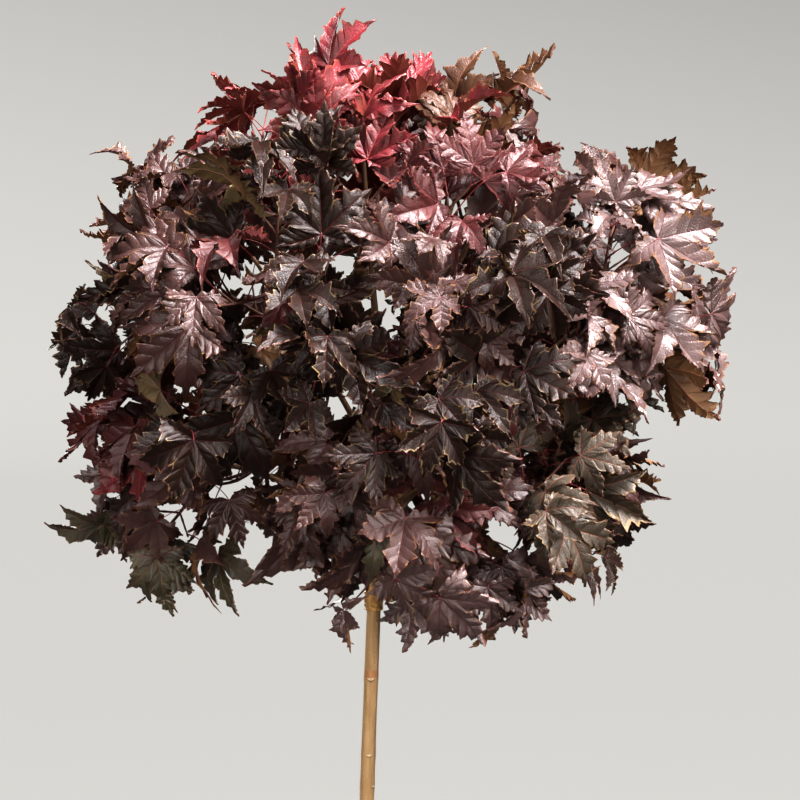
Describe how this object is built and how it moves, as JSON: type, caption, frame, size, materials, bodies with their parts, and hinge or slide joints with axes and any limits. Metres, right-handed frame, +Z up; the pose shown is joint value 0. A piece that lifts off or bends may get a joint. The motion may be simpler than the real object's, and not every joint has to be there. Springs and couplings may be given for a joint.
{
  "type": "norway maple",
  "caption": "Young purple-leaved maple grown as a small standard: slim bare stem, callused graft and a round head of lobed leaves, an ornamental garden tree.",
  "frame": {"origin": "centre of the flat cut under the trunk, at ground level", "axes": "+Z up the stem, +X to the right of the picture, -Y toward the camera"},
  "size_m": [0.8296, 0.761, 1.8081],
  "materials": {
    "stem_bark": "matte",
    "bough_bark": "matte",
    "purple_leaf": "satin",
    "young_leaf": "satin"
  },
  "bodies": {
    "root": {"trunk": "stem_bark", "bough_lower_right": "bough_bark", "bough_lower_back_right": "bough_bark", "bough_lower_back_left": "bough_bark", "bough_lower_left": "bough_bark", "bough_lower_front_left": "bough_bark", "bough_lower_front_right": "bough_bark", "bough_middle_right": "bough_bark", "bough_middle_back_right": "bough_bark", "bough_middle_back_left": "bough_bark", "bough_middle_left": "bough_bark", "bough_middle_front_left": "bough_bark", "bough_middle_front_right": "bough_bark", "bough_upper_right": "bough_bark", "bough_upper_back": "bough_bark", "bough_upper_left": "bough_bark", "bough_upper_front_left": "bough_bark", "bough_upper_front_right": "bough_bark", "bough_top_right": "bough_bark", "leaves_lower_right": "purple_leaf", "leaves_lower_back_right": "purple_leaf", "leaves_lower_back_left": "purple_leaf", "leaves_lower_left": "purple_leaf", "leaves_lower_front_left": "purple_leaf", "leaves_lower_front_right": "purple_leaf", "leaves_middle_right": "purple_leaf", "leaves_middle_back_right": "purple_leaf", "leaves_middle_back_left": "purple_leaf", "leaves_middle_left": "purple_leaf", "leaves_middle_front_left": "purple_leaf", "leaves_middle_front_right": "purple_leaf", "leaves_upper_right": "purple_leaf", "leaves_upper_back": "purple_leaf", "leaves_upper_left": "purple_leaf", "leaves_upper_front_left": "purple_leaf", "leaves_upper_front_right": "purple_leaf", "leaves_top_right": "young_leaf", "leaves_top_left": "young_leaf"}
  },
  "joints": []
}
